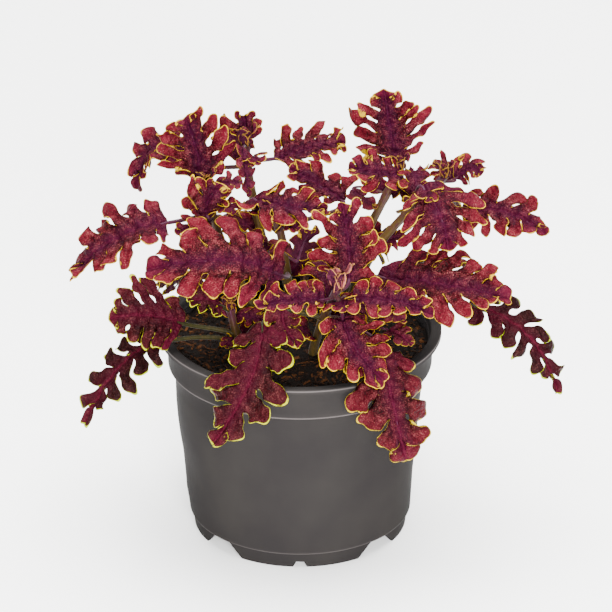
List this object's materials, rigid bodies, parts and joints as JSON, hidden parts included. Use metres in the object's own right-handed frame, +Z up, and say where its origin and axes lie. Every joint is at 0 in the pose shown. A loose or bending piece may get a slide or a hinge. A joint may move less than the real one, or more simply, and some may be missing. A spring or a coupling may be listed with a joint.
{
  "type": "potted coleus plant",
  "caption": "Bushy coleus with crimson, yellow-edged, deeply fingered leaves on square stems, growing in a round dark plastic nursery pot filled with potting mix.",
  "frame": {"origin": "in the plane that the pot's feet stand on, at the middle of the plant's width and depth; the pot's own axis stands 6.9 mm to the left of it and 4.5 mm in front of it", "axes": "+Z up, -Y to the front, +X to the right when seen from the front"},
  "size_m": [0.2261, 0.1692, 0.1912],
  "materials": {
    "plastic": "satin",
    "potting_mix": "matte",
    "leaf": "satin"
  },
  "bodies": {
    "root": {"pot": "plastic", "potting_mix": "potting_mix", "shoot_front": "leaf", "shoot_left": "leaf", "shoot_left_low": "leaf", "shoot_back_left": "leaf", "shoot_middle": "leaf", "shoot_back_right": "leaf", "shoot_right": "leaf", "shoot_right_low": "leaf", "shoot_back": "leaf"}
  },
  "joints": []
}
